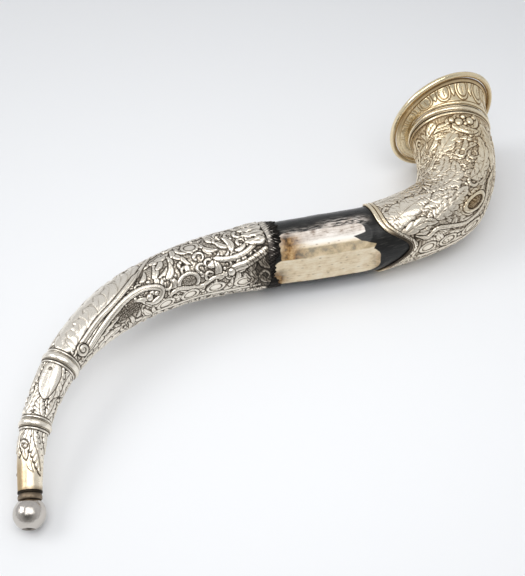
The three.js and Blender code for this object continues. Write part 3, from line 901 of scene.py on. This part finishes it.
def rear_sleeve():
    skin = Skin(lambda a: rear_band_start(a) + REAR_BAND_WIDTH, REAR_SLEEVE_END, 310, 316)
    scatter_foliage(skin, 362, 480, 6.8, 21, 5.4, 0.45, 0.5)
    for half in (0, 180):
        skin.half = half
        patch = bump(skin.station - 446, 26) * bump(turn_between(skin.angle, 10 + half), 40)
        hatch(skin, patch > 0.4, 1.9, 38, 0.6)
        leaf(skin, [(446, 62), (458, 54), (468, 44), (476, 30)], 6.0, 0.5, 5, 0.5)
        leaf(skin, [(430, 26), (440, 36), (454, 36), (466, 26)], 6.5, 0.55, 5, 0.5)
        leaf(skin, [(446, -34), (456, -26), (466, -14), (474, -6)], 6.0, 0.5, 5, 0.45)
        leaf(skin, [(408, -34), (420, -24), (434, -20), (446, -24)], 7.5, 0.45, 5, 0.45)
        leaf(skin, [(402, -4), (414, 2), (428, 2), (440, -6)], 7.5, 0.5, 5, 0.5)
        leaf(skin, [(392, 44), (400, 36), (412, 30), (424, 28)], 7.0, 0.6, 5, 0.6)
        leaf(skin, [(384, 22), (394, 16), (406, 16), (416, 20)], 6.0, 0.55, 4, 0.55)
        leaf(skin, [(358, -22), (370, -26), (384, -28), (398, -24)], 8.0, 0.5, 5, 0.5)
        leaf(skin, [(356, 34), (368, 20), (382, 8), (400, 2)], 10.0, 0.85, 4, 0.5, 0.62, 0.2)
        leaf(skin, [(364, 54), (374, 46), (384, 42), (394, 50)], 4.6, 0.7, 4, 0.85)
        patch = bump(skin.station - 400, 26) * bump(turn_between(skin.angle, -12 + half), 30)
        hatch(skin, patch > 0.4, 2.1, 52, 0.5, 1)
        double_stem(skin, [(376, 60), (384, 68), (392, 60), (402, 66), (412, 74), (424, 72), (436, 60),
                           (450, 62)], 1.4, 0.9)
        oval(skin, 421, 55, 8.5, 5.6, 12, 0.85, 0.1)
        oval_chain(skin, [(384, 88), (399, 89), (415, 90), (431, 88), (447, 88), (463, 88)], 6.6, 4.6)
        stem(skin, [(378, 103), (396, 106), (414, 106), (432, 104), (450, 104), (470, 105)], 1.3, 0.75, 0)
        leaf(skin, [(477, -14), (472, -2), (469, 12), (470, 26)], 3.4, 0.85, 2, 0.7, 0.7, 0.1)
        for station, angle, size in ((480, -12, 1.9), (481, 6, 1.7), (480, 22, 2.0), (475.5, 6, 1.6),
                                     (477.5, -3, 2.9), (477.5, 14, 2.9)):
            boss(skin, station, angle, size, 1.25)
    worn = smooth(np.sin(skin.station * 0.21 + 1.3 * np.sin(np.radians(2 * skin.angle))), -0.5, 0.5)
    hatch(skin, worn * (skin.station < 450), 2.1, 50, 0.55, 2)
    hatch(skin, (1 - worn) * (skin.station > 395), 1.9, -28, 0.55, 3)
    start = rear_band_start(skin.angle) + REAR_BAND_WIDTH
    skin.warm = 0.2 + 0.65 * smooth(skin.station, 400, 485)
    medallion = bump(skin.station - 421, 12) * bump(turn_between(skin.angle % 180, 50), 18)
    skin.warm = np.maximum(skin.warm, 0.9 * medallion)
    stipple(skin, 0.7, 1.5, 0.2, 0.62, 5)
    shade = bump(skin.station - start, 7) * bump(turn_between(skin.angle % 180, 66), 22)
    skin.dark = np.maximum(skin.dark, 0.75 * shade)
    lip(skin, REAR_SLEEVE_END - skin.station, 0.3)
    return sleeve_mesh("rear_sleeve_chased", skin)


dress(tip_sleeve(), silver, "silver", "tip_sleeve")
dress(middle_sleeve(), silver, "silver", "middle_sleeve")
dress(front_sleeve(), silver, "silver", "front_sleeve")
dress(cut_border(), oxidised, "dark_silver", "front_sleeve_border")
dress(rear_band(), silver, "gilt", "rear_sleeve_border")
dress(rear_sleeve(), silver, "silver", "rear_sleeve")


# -------------------- the bell

NECK = (31.4, 490.6)
MOUTH = (40.6, 504.9)
TONGUES = 14


def bezier(points, share):
    p0, p1, p2, p3 = (np.array(p) for p in points)
    t = share[:, None]
    return (1 - t) ** 3 * p0 + 3 * (1 - t) ** 2 * t * p1 + 3 * (1 - t) * t ** 2 * p2 + t ** 3 * p3


def build_bell():
    """The trumpet mouth: a band of double-outlined tongues with hanging darts between them."""
    rows, around = 96, 840
    share = np.linspace(0, 1, rows)
    curve = bezier([NECK, (NECK[0], NECK[1] + 7), (NECK[0] + 3.5, MOUTH[1] - 3), MOUTH], share)
    slope = np.gradient(curve, axis=0)
    slope /= np.linalg.norm(slope, axis=1, keepdims=True)
    outward = np.stack([slope[:, 1], -slope[:, 0]], axis=1)
    angles = np.linspace(0, 360, around, endpoint=False)[None, :]
    run = np.concatenate([[0], np.cumsum(np.linalg.norm(np.diff(curve, axis=0), axis=1))])[:, None]
    cell = (angles * TONGUES / 360) % 1 - 0.5
    wide = 2 * math.pi * curve[:, :1] / TONGUES
    skin = Skin(0, 1, 2, 2)
    skin.height = np.zeros((rows, around))
    skin.dark = np.zeros((rows, around))

    def tongue(size, height, ink):
        across = cell * wide / (0.36 * wide * size)
        below = np.where(run < 10.2, (run - 10.2) / (6.2 * size), (run - 10.2) / (9 * size))
        gap = (np.hypot(across, below) - 1) * 4.6 * size
        skin.stamp(gap, height * dome(np.clip(0.85 * np.hypot(across, below), 0, 1)), ink)

    dart = (np.abs(cell) - 0.5) * wide
    half = np.clip(0.10 * wide * np.clip((run - 6.5) / 2.5, 0, 3), 0.01, 9)
    skin.stamp(np.maximum(np.abs(dart) - half, 6.8 - run), 0.6 * dome(np.clip(dart / half, -1, 1)), 0.7)
    tongue(1.0, 0.85, 0.7)
    tongue(0.66, 1.0, 0.65)
    skin.engrave(cell * wide, 0.35, 0.5, (run > 7.5) & (run < 12))
    skin.engrave(run - 0.7, 0.3, 0.8)
    skin.height = np.maximum(skin.height, 0.55 * dome((run - 1.9) / 0.9))
    skin.engrave(run - 3.1, 0.3, 0.6)
    lip_start = run[-1] - 3.6
    # The plain band under the rim, painted with shade from the rolled rim and darkest next to it, with a
    # dark line along its lower edge
    skin.height = np.where(run > lip_start, 0.15, skin.height)
    skin.dark = np.where(run > lip_start, 0.3, skin.dark)
    skin.engrave(run - lip_start - 0.3, 0.5, 0.9)
    skin.dark = np.maximum(skin.dark, 0.75 * smooth(run, run[-1] - 2.4, run[-1] - 0.6))
    height = skin.height
    hollow = blurred(height, 5) - height
    dark = np.clip(skin.dark + 1.1 * hollow, 0, 1)
    # Painted light: the flank round 248 degrees is lightened, with its dark outlines mostly taken out and
    # its gilt paler, as where the light falls bright
    painted_lit_flank = bump(turn_between(np.broadcast_to(angles, dark.shape), 248), 62)
    dark = dark * (1 - 0.85 * painted_lit_flank)
    inner = (curve - outward)[::-6]
    inner_radius, inner_station = inner[:, :1], inner[:, 1:]
    outside = wrap(curve[:, 1:] + outward[:, 1:] * height, angles, curve[:, :1] + outward[:, :1] * height)
    inside = wrap(inner_station, angles, inner_radius)
    attributes = {
        "dark": np.concatenate([dark, np.full(inside.shape[:2], 0.12)]),
        "warm": np.concatenate([0.8 - 0.3 * painted_lit_flank, np.ones(inside.shape[:2])]),
    }
    return ring_mesh("bell_trumpet", np.concatenate([outside, inside]), attributes, 60)


def build_rim():
    """The rolled rim, with its flat land in front and a fine step behind; painted shade darkens the inner
    side of the roll, towards the flare.
    """
    roll, centre, station, land = 2.2, 43.1, 505.6, 507.5
    edge = math.degrees(math.asin((land - station) / roll))
    # Painted shade: the roll is darker on its inner side, facing the flare, than along its outer edge and
    # front
    profile = [(r, s, 0.05 if r > centre + 0.6 or s > station + 0.8 else 0.28)
               for r, s in arc(centre, station, roll, -180 - edge, edge, 36)]
    return turned("bell_rolled_rim", profile, 256, 45, 1.0)


dress(build_bell(), gilt, "gilt", "bell_flare")
dress(build_rim(), bright_gilt, "gilt", "bell_rim")


# -------------------- pins

PINS = {
    "tip_sleeve_pin_1": (24, 180), "tip_sleeve_pin_2": (24, 270),
    "middle_sleeve_pin_1": (89, 0), "middle_sleeve_pin_2": (89, 180),
    "front_sleeve_pin_1": (258, 150), "front_sleeve_pin_2": (258, 210), "front_sleeve_pin_3": (258, 285),
    "rear_sleeve_pin_1": (397, 135), "rear_sleeve_pin_2": (397, 210), "rear_sleeve_pin_3": (397, 285),
}
PIN_HEAD = 1.3
PIN_SEAT = 0.45
FLUSH_SEAT = -0.35
PIN_SHANK = 0.65


def build_pin(node, station, angle):
    """A domed pin head on a short shank, standing square on the sleeve."""
    foot = wrap(station, angle, 0)
    rise = PIN_SEAT if node.startswith("middle") else FLUSH_SEAT
    seat = wrap(station, angle, horn_radius(station) + GROUND + rise)
    out = (seat - foot) / np.linalg.norm(seat - foot)
    side = np.cross(out, [0.3, 0.5, 0.8])
    side /= np.linalg.norm(side)
    other = np.cross(out, side)
    lifts = [(0.02, -2), (PIN_SHANK, -2), (PIN_SHANK, 0), (PIN_HEAD, 0.05)]
    lifts += [(PIN_HEAD * math.cos(math.radians(t)), 0.15 + 0.7 * math.sin(math.radians(t)))
              for t in range(0, 90, 12)]
    lifts += [(0.02, 0.85)]
    turns = np.linspace(0, 2 * math.pi, 24, endpoint=False)[None, :, None]
    radius = np.array([r for r, _ in lifts])[:, None, None]
    lift = np.array([h for _, h in lifts])[:, None, None]
    rings = seat + (side * np.cos(turns) * radius + other * np.sin(turns) * radius + out * lift) * MM
    shape = rings.shape[:2]
    return ring_mesh("dome_" + node, rings, {"dark": np.full(shape, 0.55), "warm": np.zeros(shape)}, 50)


for node, (station, angle) in PINS.items():
    dress(build_pin(node, station, angle), silver, "silver", node)


# -------------------- floor, light and camera

def plain_material(name, colour, roughness):
    material, _, shader = new_material(name)
    shader.inputs["Base Color"].default_value = (*colour, 1)
    shader.inputs["Roughness"].default_value = roughness
    shader.inputs["Specular IOR Level"].default_value = 0.2
    return material


floor_mesh = bpy.data.meshes.new("floor")
floor_mesh.from_pydata([(-6, -6, 0), (6, -6, 0), (6, 6, 0), (-6, 6, 0)], [], [(0, 1, 2, 3)])
floor_mesh.materials.append(plain_material("pale_paper", (0.86, 0.87, 0.885), 0.85))
floor = linked("floor", floor_mesh)

CENTRE = np.array([0.02, 0.0, 0.03])


def aim(thing, target):
    """Turn a lamp or camera so that it looks at a point."""
    forward = np.array(target, float) - np.array(thing.location)
    thing.rotation_euler = Vector(forward).to_track_quat("-Z", "Y").to_euler()


def softbox(name, place, size, power, spread=180):
    lamp = bpy.data.lights.new(name, "AREA")
    lamp.shape = "RECTANGLE"
    lamp.size, lamp.size_y = size
    lamp.energy = power
    lamp.spread = math.radians(spread)
    thing = linked(name, lamp)
    thing.location = place
    aim(thing, CENTRE)


softbox("overhead_softbox", (-0.15, -0.17, 0.68), (0.8, 0.6), 1.24, 98)
softbox("back_left_softbox", (-0.9, 1.1, 1.3), (1.1, 0.8), 9.5)

VIEW = np.array([0.513, 0.429, -0.743])

# The studio round it: bright walls and ceiling, dim behind the camera
world = bpy.data.worlds.new("studio")
world.use_nodes = True
tree = world.node_tree
facing = add(tree, "ShaderNodeVectorMath", operation="DOT_PRODUCT")
tree.links.new(add(tree, "ShaderNodeTexCoord").outputs["Generated"], facing.inputs[0])
facing.inputs[1].default_value = -VIEW
sky = ramp(tree,
           maths(tree, "MULTIPLY_ADD", facing.outputs["Value"], 0.5, 0.5),
           ((0.0, (0.56, 0.57, 0.59)), (0.62, (0.70, 0.71, 0.73)), (0.88, (0.42, 0.42, 0.42)),
            (1.0, (0.14, 0.14, 0.14))))
tree.links.new(sky, tree.nodes["Background"].inputs["Color"])
tree.nodes["Background"].inputs["Strength"].default_value = 1.0
bpy.context.scene.world = world

# The camera looks down at 48 degrees from the front left; the horn runs away from it to the right
camera_data = bpy.data.cameras.new("camera")
camera_data.lens = 62.5
camera_data.sensor_width = 36
camera_data.clip_start = 0.01
camera = linked("camera", camera_data)
camera.location = np.array([-140.3, -298.6, 544.0]) * MM + OFFSET
aim(camera, np.array(camera.location) + VIEW)
bpy.context.scene.camera = camera

bpy.context.scene.view_settings.view_transform = "Standard"
